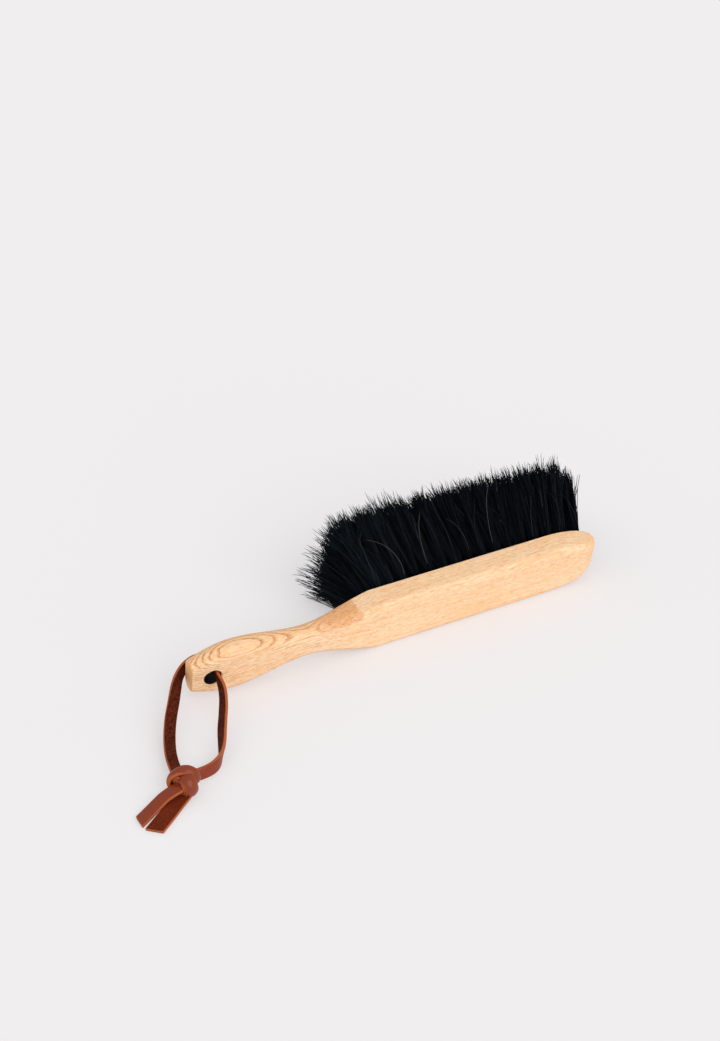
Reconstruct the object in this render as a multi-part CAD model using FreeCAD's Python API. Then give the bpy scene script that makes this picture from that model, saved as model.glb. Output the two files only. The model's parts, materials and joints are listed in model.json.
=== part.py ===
import FreeCAD, Part
import math
import os

from FreeCAD import Vector

# A hand broom lying on its side, in millimetres. X runs from the handle end to the tip of the head,
# Y is the way the bristles point and Z is up. The wood is first made in its own frame: X from the
# handle end, Y from the back face towards the bristles, Z from the middle of its width. It is then
# rolled until its lower back edge and its lowest bristle tips both touch the table.

# Wooden block, along its length
block_length = 324.5
handle_length = 136.5
belly_from_end = 30.0
waist_from_end = 87.0
tip_length = 44.5

# Wooden block, widths and thicknesses
end_width = 25.2
belly_width = 39.6
waist_width = 23.6
head_width = 42.0
end_thickness = 12.0
belly_thickness = 16.5
waist_thickness = 14.8
head_thickness = 18.7
handle_offset = 1.2
shoulder_power = 1.2

# Wooden block, rounded edges and nose
handle_round = 7.6
head_back_round = 4.7
head_face_round = 1.0
nose_width = 11.3
nose_thickness = 3.3
nose_round = 24.3
least_flat = 1.2
quarter_round_handle = 0.5523
loft_step = 6.0
tip_steps = 9
surface_tolerance = 1e-4

# Hole for the thong
thong_hole_diameter = 12.0
thong_hole_from_end = 14.25
thong_hole_ease = 0.8

# Drilled field of tufts
tuft_rows = 5
row_spacing = 7.75
tuft_pitch = 10.5
tuft_hole_diameter = 5.0
tuft_hole_depth = 12.0
field_wall = 2.0
field_start = 140.0
field_corner = 5.0
field_end_inset = 12.5
trim_at_handle = 63.5
trim_at_tip = 57.0
row_lean = 12.15
heel_lean = 3.0
tip_lean = 25.5
tuft_clearance = 0.1
tuft_gap = 0.8
tuft_sides = 6

# Flat wire anchors that hold the folded tufts
anchor_thickness = 0.5
anchor_height = 3.0
anchor_clearance = 0.1
fold_depth = 10.6

# Leather thong: a flat strap through the hole, tied in a knot that lies on the table
strap_width = 7.0
strap_thickness = 2.2
strap_hole_clearance = 0.3
strap_exit = 1.6
corner_share = 0.45
section_turn = 20.0

# Its routes from the hole to the knot. A place is X and Y from the middle of the hole and the height
# above the table, and beside it stands the way that the strap's width points there.
near_route = (
    ((2.8, -21.0, 17.4), (0.0, 0.0, 1.0)),
    ((-1.4, -33.5, 13.2), (0.0, 0.0, 1.0)),
    ((-7.2, -45.5, 9.2), (0.0, 0.1, 1.0)),
    ((-14.6, -57.0, 6.4), (0.0, 0.2, 1.0)),
    ((-22.8, -66.8, 5.0), (0.1, 0.4, 1.0)),
    ((-33.0, -73.2, 4.8), (0.1, 0.5, 1.0)),
    ((-44.0, -77.4, 6.2), (0.1, 0.5, 1.0)),
)
far_route = (
    ((-1.8, 15.0, 21.8), (0.0, 0.0, 1.0)),
    ((-10.2, 14.4, 19.6), (0.0, 0.0, 1.0)),
    ((-17.6, 8.2, 18.0), (0.0, 0.0, 1.0)),
    ((-23.4, -0.8, 16.4), (-0.1, 0.0, 1.0)),
    ((-30.0, -11.4, 14.2), (-0.4, 0.2, 1.0)),
    ((-36.6, -22.0, 11.4), (-0.8, 0.4, 0.8)),
    ((-42.4, -33.0, 8.4), (-1.0, 0.3, 0.5)),
    ((-47.0, -45.2, 6.4), (-1.0, 0.2, 0.4)),
    ((-50.0, -57.8, 6.2), (-1.0, 0.1, 0.3)),
    ((-51.8, -70.6, 7.0), (-1.0, 0.1, 0.3)),
)
smooth_tail_route = (
    ((-53.6, -82.6, 8.8), (0.3, -1.0, 0.0)),
    ((-63.5, -85.2, 6.8), (0.3, -1.0, 0.0)),
    ((-72.0, -87.0, 3.4), (0.35, -1.0, 0.0)),
    ((-79.0, -89.6, 1.6), (0.4, -1.0, 0.0)),
    ((-86.7, -93.3, 1.25), (0.4, -1.0, 0.0)),
)
rough_tail_route = (
    ((-53.6, -84.6, 3.2), (0.8, -1.0, 0.0)),
    ((-62.0, -90.8, 2.0), (0.8, -1.0, 0.0)),
    ((-71.5, -98.6, 1.4), (0.75, -1.0, 0.0)),
    ((-80.9, -105.0, 1.25), (0.7, -1.0, 0.0)),
)

# The knot: a barrel along the thong with two wraps that cross over it
knot_place = (-52.2, -80.8)
knot_heading = -124.0
knot_barrel = ((-9.5, 4.6), (-6.0, 7.2), (0.0, 7.8), (6.0, 7.2), (9.5, 4.6))
knot_wrap_radius = 8.8
knot_wrap_width = 6.6
knot_wrap_turns = (38.0, -42.0)
knot_sides = 16


def blend(start, end, share):
    """A value between start and end, with no slope at either."""
    return start + (end - start) * (1 - math.cos(math.pi * share)) / 2


def handle_section(station):
    """Width, thickness, back edge radius and face edge radius of the handle at a station."""
    if station <= belly_from_end:
        share = math.sin(math.pi / 2 * station / belly_from_end)
        width = end_width + (belly_width - end_width) * share
        thickness = end_thickness + (belly_thickness - end_thickness) * share
        return width, thickness, handle_round, handle_round
    if station <= waist_from_end:
        share = (station - belly_from_end) / (waist_from_end - belly_from_end)
        width = blend(belly_width, waist_width, share)
        thickness = blend(belly_thickness, waist_thickness, share)
        return width, thickness, handle_round, handle_round
    share = (station - waist_from_end) / (handle_length - waist_from_end)
    return (
        waist_width + (head_width - waist_width) * share**shoulder_power,
        blend(waist_thickness, head_thickness, share),
        blend(handle_round, head_back_round, share),
        blend(handle_round, head_face_round, share),
    )


def handle_middle(station):
    """Depth of the handle's middle, which stands off the head's middle towards the bristles."""
    share = max(station - waist_from_end, 0.0) / (handle_length - waist_from_end)
    return blend(head_thickness / 2 + handle_offset, head_thickness / 2, share)


def tip_reach():
    """Length of the tip's half ellipse, of which the flat nose cuts off the end."""
    return tip_length / math.sqrt(1 - (nose_width / head_width) ** 2)


def tip_half_width(past):
    """Half width of the tip at a distance past the straight head."""
    return head_width / 2 * math.sqrt(1 - (past / tip_reach()) ** 2)


def tip_back(past):
    """Depth of the back at a distance past the straight head, where an arc brings it up to the nose."""
    rise = head_thickness - nose_thickness
    run = math.sqrt(nose_round**2 - (nose_round - rise) ** 2)
    over = max(past - (tip_length - run), 0.0)
    return nose_round - math.sqrt(nose_round**2 - over**2)


def section(station):
    """Half width, back, face, back edge radius and face edge radius of the wood at a station."""
    if station <= handle_length:
        width, thickness, back_round, face_round = handle_section(station)
        back = handle_middle(station) - thickness / 2
        return width / 2, back, back + thickness, back_round, face_round
    past = max(station - (block_length - tip_length), 0.0)
    return tip_half_width(past), tip_back(past), head_thickness, head_back_round, head_face_round


def section_wire(station):
    """Rounded outline of the wood at a station: four straight sides and four quarter rounds."""
    half, back, face, back_round, face_round = section(station)
    most = (min(2 * half, face - back) - least_flat) / 2
    back_round = min(back_round, most)
    face_round = min(face_round, most)
    corners = (
        (back, -half, 1, 1, back_round),
        (face, -half, -1, 1, face_round),
        (face, half, -1, -1, face_round),
        (back, half, 1, -1, back_round),
    )
    rounds = []
    for index, (y, z, inward_y, inward_z, radius) in enumerate(corners):
        near = radius * (1 - quarter_round_handle)
        on_y = [Vector(station, y + inward_y * reach, z) for reach in (radius, near)]
        on_z = [Vector(station, y, z + inward_z * reach) for reach in (radius, near)]
        first, last = (on_z, on_y) if index % 2 == 0 else (on_y, on_z)
        rounds.append([first[0], first[1], last[1], last[0]])
    edges = []
    for index, poles in enumerate(rounds):
        corner = Part.BezierCurve()
        corner.setPoles(poles)
        edges.append(corner.toShape())
        following = rounds[(index + 1) % len(rounds)][0]
        edges.append(Part.LineSegment(poles[-1], following).toShape())
    return Part.Wire(edges)


def block():
    """Handle and head in one: lofted in short steps from the flat end over the belly and the waist to
    the shoulder, straight along the head, and in steps of even turn round the tip."""
    stations = [0.0]
    for mark in (belly_from_end, waist_from_end, handle_length):
        start = stations[-1]
        steps = math.ceil((mark - start) / loft_step)
        stations += [start + (mark - start) * (step + 1) / steps for step in range(steps)]
    straight_end = block_length - tip_length
    last_turn = math.asin(tip_length / tip_reach())
    turns = [last_turn * step / tip_steps for step in range(tip_steps + 1)]
    stations += [straight_end + tip_reach() * math.sin(turn) for turn in turns]
    return Part.makeLoft([section_wire(station) for station in stations], True, True)


def thong_hole():
    """The cutter for the thong's hole: a bore through the handle with both mouths eased."""
    thickness = handle_section(thong_hole_from_end)[1]
    back = handle_middle(thong_hole_from_end) - thickness / 2
    face = back + thickness
    radius = thong_hole_diameter / 2
    overrun = thong_hole_diameter
    along = Vector(0, 1, 0)
    start = Vector(thong_hole_from_end, back - overrun, 0)
    bore = Part.makeCylinder(radius, thickness + 2 * overrun, start, along)
    wide = radius + thong_hole_ease
    back_ease = Part.makeCone(
        wide, radius, thong_hole_ease, Vector(thong_hole_from_end, back, 0), along
    )
    face_ease = Part.makeCone(
        wide, radius, thong_hole_ease, Vector(thong_hole_from_end, face, 0), along * -1
    )
    return bore.fuse([back_ease, face_ease])


def row_ends(across):
    """Where a row at this distance from the middle of the face starts and ends along the block."""
    outermost = row_spacing * (tuft_rows - 1) / 2
    start = field_start + field_corner * (across / outermost) ** 2
    edge = abs(across) + tuft_hole_diameter / 2 + field_wall
    reach = tip_reach() * math.sqrt(1 - (edge / (head_width / 2)) ** 2)
    end = min(block_length - tip_length + reach, block_length - field_end_inset)
    return start, end


def tuft_seats():
    """For each row, the seats of its tufts: mouth on the face, direction of lean and trim length."""
    widest = (tuft_rows - 1) / 2
    field_end = row_ends(0.0)[1]
    rows = []
    for row in range(tuft_rows):
        across = (row - widest) * row_spacing
        start, end = row_ends(across)
        count = round((end - start) / tuft_pitch) + 1
        lean_across = math.tan(math.radians(row_lean * (row - widest) / widest))
        seats = []
        for index in range(count):
            station = start + (end - start) * index / (count - 1)
            share = (station - field_start) / (field_end - field_start)
            lean_along = math.tan(math.radians(tip_lean * share**2 - heel_lean * (1 - share) ** 2))
            trim = trim_at_handle + (trim_at_tip - trim_at_handle) * share
            mouth = Vector(station, head_thickness, across)
            seats.append((mouth, Vector(lean_along, 1, lean_across), trim))
        rows.append(seats)
    return rows


def tuft_hole(seat):
    """A blind hole into the face along its tuft's lean, with the few sides that a tuft has."""
    mouth, lean, _trim = seat
    floor = Part.Face(polygon(mouth - lean * tuft_hole_depth, tuft_hole_diameter / 2))
    return floor.extrude(lean * (tuft_hole_depth + tuft_hole_diameter))


def anchor(seat, clearance=0.0):
    """The flat wire across the foot of a tuft's hole, standing on its floor."""
    mouth, lean, _trim = seat
    long = tuft_hole_diameter * math.cos(math.pi / tuft_sides) - 2 * anchor_clearance
    half_long = long / 2 + clearance
    half_thick = anchor_thickness / 2 + clearance
    foot = mouth - lean * tuft_hole_depth
    corners = [
        foot + Vector(-half_long, 0, -half_thick),
        foot + Vector(half_long, 0, -half_thick),
        foot + Vector(half_long, 0, half_thick),
        foot + Vector(-half_long, 0, half_thick),
    ]
    plate = Part.Face(Part.makePolygon(corners + corners[:1]))
    return plate.extrude(lean * (anchor_height + clearance))


def polygon(centre, radius):
    """A regular polygon level with the face of the head, one corner pointing across it."""
    corners = []
    for side in range(tuft_sides + 1):
        angle = 2 * math.pi * side / tuft_sides
        corners.append(centre + Vector(radius * math.sin(angle), 0, radius * math.cos(angle)))
    return Part.makePolygon(corners)


def tip_radius():
    """Corner radius of a tuft at its trimmed tips, which leaves a gap to the next tuft in the row."""
    return (tuft_pitch - tuft_gap) / 2 / math.cos(math.pi / tuft_sides)


def faceted(rings):
    """A closed solid of flat faces between polygons that are level and alike."""
    faces = [Part.Face(rings[0]), Part.Face(rings[-1])]
    for lower, upper in zip(rings, rings[1:]):
        below = [vertex.Point for vertex in lower.OrderedVertexes]
        above = [vertex.Point for vertex in upper.OrderedVertexes]
        for side, corner in enumerate(below):
            after = (side + 1) % len(below)
            quad = [corner, below[after], above[after], above[side], corner]
            faces.append(Part.Face(Part.makePolygon(quad)))
    solid = Part.Solid(Part.Shell(faces))
    if solid.Volume < 0:
        solid.reverse()
    return solid


def tuft(seat):
    """A folded tuft: a straight root in its hole, notched over its anchor, and a flared brush."""
    mouth, lean, trim = seat
    root_radius = tuft_hole_diameter / 2 - tuft_clearance
    root = polygon(mouth - lean * fold_depth, root_radius)
    neck = polygon(mouth, root_radius)
    tips = polygon(mouth + lean * trim, tip_radius())
    body = faceted([root, neck, tips])
    return body.cut(anchor(seat, anchor_clearance))


def resting_roll(seats):
    """The roll that brings the lowest tips level with the rounded lower edge of the back."""
    centre_y = head_back_round
    centre_z = head_back_round - head_width / 2
    roll = 0.0
    for mouth, lean, trim in seats:
        for corner in polygon(mouth + lean * trim, tip_radius()).Vertexes:
            away = corner.Point.y - centre_y
            drop = corner.Point.z - centre_z
            reach = math.hypot(away, drop)
            slope = math.atan2(drop, away) + math.asin(head_back_round / reach)
            roll = max(roll, -slope)
    return math.degrees(roll)


def settle(shapes, roll):
    """Rolls the shapes about X and moves them so that the middle of their box stands on the origin."""
    turned = [shape.copy() for shape in shapes]
    for shape in turned:
        shape.rotate(Vector(0, 0, 0), Vector(1, 0, 0), roll)
    box = FreeCAD.BoundBox()
    for shape in turned:
        box.add(shape.optimalBoundingBox(False, False))
    shift = Vector(-box.Center.x, -box.Center.y, -box.ZMin)
    for shape in turned:
        shape.translate(shift)
    return turned, shift


def strap_stations(points, widths):
    """Places, directions and width vectors along straight runs that tangent arcs join.

    An arc takes corner_share of the shorter run at its corner, so its radius is that length over
    the tangent of half the turn. Widths turn evenly along the strap between the route's points.
    """
    headings = [(after - before).normalize() for before, after in zip(points, points[1:])]
    runs = [(after - before).Length for before, after in zip(points, points[1:])]
    places = [points[0]]
    directions = [headings[0]]
    knots = [0.0]
    radii = []
    lengths = [0.0]
    for index, corner in enumerate(points[1:-1]):
        entering, leaving = headings[index], headings[index + 1]
        turn = entering.getAngle(leaving)
        cut = corner_share * min(runs[index], runs[index + 1])
        radius = cut / math.tan(turn / 2)
        radii.append(radius)
        inward = (leaving - entering * math.cos(turn)).normalize()
        start = corner - entering * cut
        steps = math.ceil(math.degrees(turn) / section_turn)
        lengths.append(lengths[-1] + (start - places[-1]).Length)
        places.append(start)
        directions.append(entering)
        arc_start = lengths[-1]
        for step in range(1, steps + 1):
            angle = turn * step / steps
            ahead = entering * (radius * math.sin(angle))
            places.append(start + ahead + inward * (radius * (1 - math.cos(angle))))
            directions.append(entering * math.cos(angle) + inward * math.sin(angle))
            lengths.append(arc_start + radius * angle)
        knots.append(arc_start + radius * turn / 2)
    lengths.append(lengths[-1] + (points[-1] - places[-1]).Length)
    places.append(points[-1])
    directions.append(headings[-1])
    knots.append(lengths[-1])
    turned = []
    for length in lengths:
        index = max(i for i in range(len(knots) - 1) if knots[i] <= length + surface_tolerance)
        share = (length - knots[index]) / (knots[index + 1] - knots[index])
        turned.append(widths[index] + (widths[index + 1] - widths[index]) * share)
    return places, directions, turned, lengths[-1], radii


def strap(name, points, widths):
    """A flat strap along a route, lofted through its cut sections."""
    places, directions, turned, length, radii = strap_stations(points, widths)
    sections = []
    for place, direction, width in zip(places, directions, turned):
        across = (width - direction * width.dot(direction)).normalize() * (strap_width / 2)
        through = direction.cross(across).normalize() * (strap_thickness / 2)
        corners = [
            place + across + through,
            place - across + through,
            place - across - through,
            place + across - through,
        ]
        sections.append(Part.makePolygon(corners + corners[:1]))
    solid = Part.makeLoft(sections, True, True)
    section = strap_width * strap_thickness
    print(name, "length", round(length, 1), "least radius", round(min(radii), 1))
    print(name, "volume over section times length", round(solid.Volume / (section * length), 4))
    return solid


def ring(centre, axis, radius):
    """A polygon round an axis that lies level, with one flat side down."""
    side = axis.cross(Vector(0, 0, 1))
    corners = []
    for index in range(knot_sides + 1):
        angle = 2 * math.pi * (index + 0.5) / knot_sides
        drop = Vector(0, 0, radius * math.cos(angle))
        corners.append(centre + side * (radius * math.sin(angle)) - drop)
    return Part.makePolygon(corners)


def level(heading):
    """The level direction at a heading from X, in degrees."""
    return Vector(math.cos(math.radians(heading)), math.sin(math.radians(heading)), 0)


def knot(hole_middle):
    """The tied knot: a barrel along the thong and two wraps that cross over it."""
    height = knot_wrap_radius * math.cos(math.pi / knot_sides)
    centre = Vector(hole_middle.x + knot_place[0], hole_middle.y + knot_place[1], height)
    along = level(knot_heading)
    solid = faceted([ring(centre + along * at, along, radius) for at, radius in knot_barrel])
    for turn in knot_wrap_turns:
        axis = level(knot_heading + turn)
        edge = Part.Face(ring(centre - axis * (knot_wrap_width / 2), axis, knot_wrap_radius))
        solid = solid.fuse(edge.extrude(axis * knot_wrap_width))
    return solid.removeSplitter()


def thong(hole_middle, hole_axis, hole_across):
    """The thong's pieces: two runs that meet in the hole, the knot, and two tails beyond it."""
    half_bore = thong_hole_diameter / 2 - strap_hole_clearance
    aside = math.sqrt(half_bore**2 - (strap_width / 2) ** 2) - strap_thickness / 2
    middle = hole_middle + Vector(aside, 0, 0)
    leave = handle_section(thong_hole_from_end)[1] / 2 + strap_exit
    routes = {
        "thong_near_run": (near_route, [middle, middle - hole_axis * leave]),
        "thong_far_run": (far_route, [middle, middle + hole_axis * leave]),
        "thong_tail_smooth": (smooth_tail_route, []),
        "thong_tail_rough": (rough_tail_route, []),
    }
    pieces = {}
    for name, (route, start) in routes.items():
        points = start + [Vector(hole_middle.x + x, hole_middle.y + y, z) for (x, y, z), _width in route]
        widths = [hole_across for _point in start] + [Vector(*width) for _point, width in route]
        pieces[name] = strap(name, points, widths)
    pieces["thong_knot"] = knot(hole_middle).cut(list(pieces.values()))
    return pieces


rows = tuft_seats()
all_seats = [seat for seats in rows for seat in seats]
wood = block().cut([thong_hole()] + [tuft_hole(seat) for seat in all_seats])

parts = {"handle_block": wood}
for number, seats in enumerate(rows, start=1):
    parts[f"bristle_row_{number}"] = Part.Compound([tuft(seat) for seat in seats])
    parts[f"anchor_row_{number}"] = Part.Compound([anchor(seat) for seat in seats])

roll = resting_roll(all_seats)
settled, shift = settle(list(parts.values()), roll)
parts = dict(zip(parts, settled))
resting = FreeCAD.Placement(shift, FreeCAD.Rotation(Vector(1, 0, 0), roll))
hole_middle = resting.multVec(Vector(thong_hole_from_end, handle_middle(thong_hole_from_end), 0))
hole_axis = resting.Rotation.multVec(Vector(0, 1, 0))
hole_across = resting.Rotation.multVec(Vector(0, 0, 1))
parts.update(thong(hole_middle, hole_axis, hole_across))
print("roll", round(roll, 3), "shift", shift)
print("hole middle", hole_middle, "axis", hole_axis)

os.makedirs("parts", exist_ok=True)
for name, shape in parts.items():
    shape.exportStep(f"parts/{name}.step")
    print(name, len(shape.Solids), shape.isValid(), round(shape.Volume, 1), shape.BoundBox)
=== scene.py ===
import json
import math

import bmesh
import bpy
import numpy as np
from bpy.props import FloatProperty, FloatVectorProperty, IntProperty, PointerProperty
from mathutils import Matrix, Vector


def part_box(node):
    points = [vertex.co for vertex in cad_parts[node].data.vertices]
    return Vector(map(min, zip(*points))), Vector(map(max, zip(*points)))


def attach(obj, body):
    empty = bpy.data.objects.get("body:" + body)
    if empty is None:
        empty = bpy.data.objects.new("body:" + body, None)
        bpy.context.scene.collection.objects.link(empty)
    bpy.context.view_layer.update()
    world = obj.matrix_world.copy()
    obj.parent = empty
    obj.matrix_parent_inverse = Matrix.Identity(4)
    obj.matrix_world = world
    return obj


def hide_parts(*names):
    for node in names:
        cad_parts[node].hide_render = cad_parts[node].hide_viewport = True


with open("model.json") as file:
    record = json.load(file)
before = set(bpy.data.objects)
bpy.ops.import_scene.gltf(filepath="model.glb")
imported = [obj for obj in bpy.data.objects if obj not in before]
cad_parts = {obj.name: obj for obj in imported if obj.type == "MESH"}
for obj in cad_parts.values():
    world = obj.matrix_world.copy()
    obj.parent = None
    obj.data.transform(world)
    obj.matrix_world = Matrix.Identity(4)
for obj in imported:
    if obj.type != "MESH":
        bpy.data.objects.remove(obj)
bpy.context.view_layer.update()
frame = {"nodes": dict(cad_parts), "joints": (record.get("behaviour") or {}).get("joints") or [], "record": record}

bl_info = {
    "name": "Hand Broom",
    "version": (1, 0, 0),
    "blender": (4, 5, 0),
    "location": "View3D > Sidebar > Broom",
    "description": "Builds an oak hand broom with horsehair bristles and a knotted leather thong",
    "category": "Add Mesh",
}


# The wood's own frame: along from the handle's end, depth from the back face to the bristle face,
# and across from the middle of the width. The packed joint and mount say how it lies at rest.
SWING = frame["joints"][0]
BACK_FACE = next(mount for mount in frame["record"]["mounts"] if mount["name"] == "back_face")
ALONG = np.array([1.0, 0.0, 0.0])
DEPTH = np.array(SWING["axis"], dtype=float) / np.linalg.norm(SWING["axis"])
ACROSS = np.cross(ALONG, DEPTH)
WOOD_PLACE = np.array([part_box("handle_block")[0].x, BACK_FACE["pos_m"][1], BACK_FACE["pos_m"][2]])
WOOD_ROLL = math.atan2(DEPTH[2], DEPTH[1])
HOLE_MIDDLE = np.array(SWING["pos_m"], dtype=float)
MM = 0.001
ROWS = 5

# Angles from which edges stay sharp, the leather's gap from the table, and the least corner radius and the
# least flat of the wood's section.
WOOD_SHARP = math.radians(32)
STRAP_SHARP = math.radians(50)
TABLE_GAP = 0.0001
LEAST_ROUND = 0.2 * MM
LEAST_FLAT = 0.6 * MM

# The oak's growth layers: the way across them, and where the first lies as a share of their spacing.
# They draw ovals on the belly. The middle and half size of the ovals' plain heart are in millimetres of the
# wood's own frame.
LAYER_WAY = (0.03, -0.5, 0.866)
LAYER_PHASE = 0.13
OVAL_MIDDLE = (34.8, 6.1, 18.6)
OVAL_SIZE = (14.0, 2.8, 2.8)

# Where the handle's bold grain starts to fade and the neck's warm tint starts to show, in millimetres from
# the handle's end, and the lengths over which they do so.
NECK_START = 82.0
GRAIN_FADE = 30.0
TINT_RISE = 26.0

# Linear colours of the wire's marks.
WIRE_DARK = (0.42, 0.42, 0.43)
WIRE_LIGHT = (0.60, 0.60, 0.61)

# Where painted shade on the leather's flesh side starts and where it is full, in metres along Y.
SHADE_START = -0.125
SHADE_FULL = -0.075

# How locks and hairs differ: standard deviations of the trim as shares of it, and the others in metres.
LOCK_TRIM = 0.042
TUFT_TRIM = 0.008
LOCK_SHIFT = 0.0012
LOCK_BEND = 0.0016
LOCK_CURL = 0.0016
HAIR_ROOT = 0.0005
HAIR_BEND = 0.0012
HAIR_TIP = 0.0015
HAIR_CURL = 0.0020

# The longest hair as a share of the trim, how much of the trim one deviation takes off, the share of short
# hairs and how short they get, how far up a hair its bend lies, and the spread there beside the tip's.
LONGEST = 1.035
TRIM_LOSS = 0.055
SHORT_HAIRS = 0.2
SHORTEST = 0.75
BEND_PLACE = 0.45
BEND_SPREAD = 1.05

# The power that keeps splayed hairs few, and how soon the splay fades from the heel and from the tip.
SPLAY_POWER = 9
HEEL_FADE = 16
TIP_FADE = 12

# The share of a hair's tone that its lock gives, how much painted sheen lightens the heel, and how soon it fades.
LOCK_TONE = 0.35
HEEL_SHEEN = 0.25
HEEL_SHEEN_FADE = 8

# Sides of a hair, its rings as shares of its length, and how much it thins.
HAIR_SIDES = 3
HAIR_RINGS = np.array([0, 0.40, 0.74, 0.96, 1.0])
HAIR_TAPER = 0.35

# Stray hairs: their rings, how thin they are beside the others, the least and most of their reach as a
# share of the trim and of their lift, the sway and lift of the tip and of the middle in metres, and the
# deviation of the curl.
STRAY_RINGS = np.linspace(0, 1, 13)
STRAY_THINNESS = 0.6
STRAY_REACH = (0.55, 0.95)
STRAY_LIFT = (0.5, 1.5)
STRAY_TIP = (0.010, 0.009)
STRAY_MIDDLE = (-0.005, 0.010)
STRAY_CURL = 0.004


def length(name, description, default):
    """A length in metres for a property group."""
    return FloatProperty(name=name, description=description, default=default, unit="LENGTH", precision=5)


def number(name, description, default):
    """A plain number for a property group."""
    return FloatProperty(name=name, description=description, default=default)


def angle(name, description, degrees):
    """An angle for a property group, given in degrees and kept in radians."""
    return FloatProperty(name=name, description=description, default=math.radians(degrees), unit="ROTATION")


def colour(name, description, red, green, blue):
    """A colour for a property group, given as it looks on screen and kept linear by the sRGB formula."""
    screen = np.array([red, green, blue]) / 255
    linear = np.where(screen <= 0.04045, screen / 12.92, ((screen + 0.055) / 1.055) ** 2.4)
    return FloatVectorProperty(
        name=name, description=description, default=tuple(linear), subtype="COLOR", min=0, max=1
    )


class BroomWood(bpy.types.PropertyGroup):
    """Sizes and colours of the oak block and handle."""

    block_length: length("Block length", "From the handle's end to the nose", 0.3245)
    handle_length: length("Handle length", "From the handle's end to the shoulder", 0.1365)
    belly_from_end: length("Belly place", "Widest part of the handle", 0.030)
    waist_from_end: length("Waist place", "Narrowest part of the handle", 0.087)
    tip_length: length("Tip length", "Rounded end of the head", 0.0445)
    end_width: length("End width", "Width at the handle's end", 0.0252)
    belly_width: length("Belly width", "Width at the belly", 0.0396)
    waist_width: length("Waist width", "Width at the waist", 0.0236)
    head_width: length("Head width", "Width of the bristle head", 0.042)
    nose_width: length("Nose width", "Width of the flat nose", 0.0113)
    end_thickness: length("End thickness", "Thickness at the handle's end", 0.012)
    belly_thickness: length("Belly thickness", "Thickness at the belly", 0.0165)
    waist_thickness: length("Waist thickness", "Thickness at the waist", 0.0148)
    head_thickness: length("Head thickness", "Thickness of the bristle head", 0.0187)
    nose_thickness: length("Nose thickness", "Thickness of the flat nose", 0.0033)
    handle_offset: length("Handle offset", "How far the handle stands towards the bristles", 0.0012)
    handle_round: length("Handle rounding", "Corner radius along the handle", 0.0076)
    stop_round: length("Stop rounding", "Corner radius where the handle's rounding stops", 0.0088)
    back_round: length("Head back rounding", "Corner radius along the head's back", 0.0047)
    face_round: length("Head face rounding", "Corner radius along the bristle face", 0.001)
    nose_round: length("Nose rounding", "Radius that brings the back up to the nose", 0.0243)
    stop_place: length("Rounding stop", "Where the handle's rounding ends short of the head", 0.1228)
    stop_run: length("Stop run", "Length over which the rounding ends", 0.0028)
    shoulder_power: number("Shoulder power", "How late the neck widens to the shoulder", 1.2)
    end_ease: length("End ease", "Worn edges of the two ends", 0.0007)
    hole_diameter: length("Hole diameter", "Hole for the thong", 0.012)
    hole_ease: length("Hole ease", "Worn edge of the thong hole", 0.0008)
    ring_spacing: length("Ring spacing", "From one growth line to the next", 0.00155)
    pale: colour("Pale oak", "Wood between the growth lines", 250, 216, 176)
    warm: colour("Warm oak", "Streaks and the sides", 247, 189, 128)
    # The neck colour also serves as painted shade on the wood's lower side.
    neck: colour("Neck", "Upper flank of the neck and the lower side", 220, 146, 78)
    line: colour("Growth line", "Porous lines of the yearly growth", 196, 118, 54)
    fleck: colour("Fleck", "Short dark dashes along the grain", 226, 170, 116)
    # The glint colour is a painted highlight in short dashes along the grain.
    glint: colour("Glint", "Short light dashes along the grain", 255, 230, 196)
    pore: colour("Pore", "Short dark pores", 172, 112, 64)
    end_grain: colour("End grain", "Wood cut across its fibres", 252, 188, 120)
    # The bore colour is painted shade on the wall of the thong hole.
    bore: colour("Bore", "Darkened wall of the thong hole", 15, 7, 4)


class BroomBristles(bpy.types.PropertyGroup):
    """Sizes and colours of the horsehair."""

    row_spacing: length("Row spacing", "From one row of tufts to the next", 0.00775)
    tuft_pitch: length("Tuft pitch", "From one tuft to the next in a row", 0.0105)
    field_start: length("Field start", "First tufts, from the handle's end", 0.140)
    field_end: length("Field end", "Last tufts, from the handle's end", 0.310)
    field_corner: length("Field corner", "How far the outer rows start late", 0.005)
    field_edge: length("Field edge", "From the middle of a tuft to the edge of the face", 0.0045)
    heel_trim: length("Heel trim", "Hair length beside the handle", 0.0628)
    tip_trim: length("Tip trim", "Hair length at the tip", 0.0605)
    row_lean: angle("Row lean", "How far the outer rows lean out", 12.15)
    heel_lean: angle("Heel lean", "How far the first tufts lean to the handle", 0.5)
    lower_lean: angle("Lower lean", "How much more the lower rows' first tufts lean", 6)
    tip_lean: angle("Tip lean", "How far the last tufts lean past the tip", 18)
    outer_lean: angle("Outer lean", "How much more the outer rows' last tufts lean", 5)
    heel_splay: angle("Heel splay", "How far loose hairs spread over the handle", 25)
    tip_splay: angle("Tip splay", "How far loose hairs spread past the tip", 7)
    root_radius: length("Root radius", "Tuft radius in the wood", 0.0030)
    tip_radius: length("Tip radius", "Tuft radius at the trimmed end", 0.0082)
    hair_radius: length("Hair radius", "Radius of one hair", 0.00028)
    locks: IntProperty(name="Locks", description="Pointed locks in one tuft", default=58)
    lock_hairs: IntProperty(name="Lock hairs", description="Hairs in one lock", default=9)
    strays: IntProperty(name="Stray hairs", description="Loose light hairs", default=46)
    seed: IntProperty(name="Seed", description="Start of the hairs' chance", default=11)
    dark: colour("Dark hair", "Most of the hair", 3, 5, 9)
    # The sheen colour is painted sheen on the lighter hairs.
    sheen: colour("Hair sheen", "Lighter hairs", 34, 43, 52)
    light: colour("Light hair", "Stray hairs", 104, 106, 108)


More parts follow.
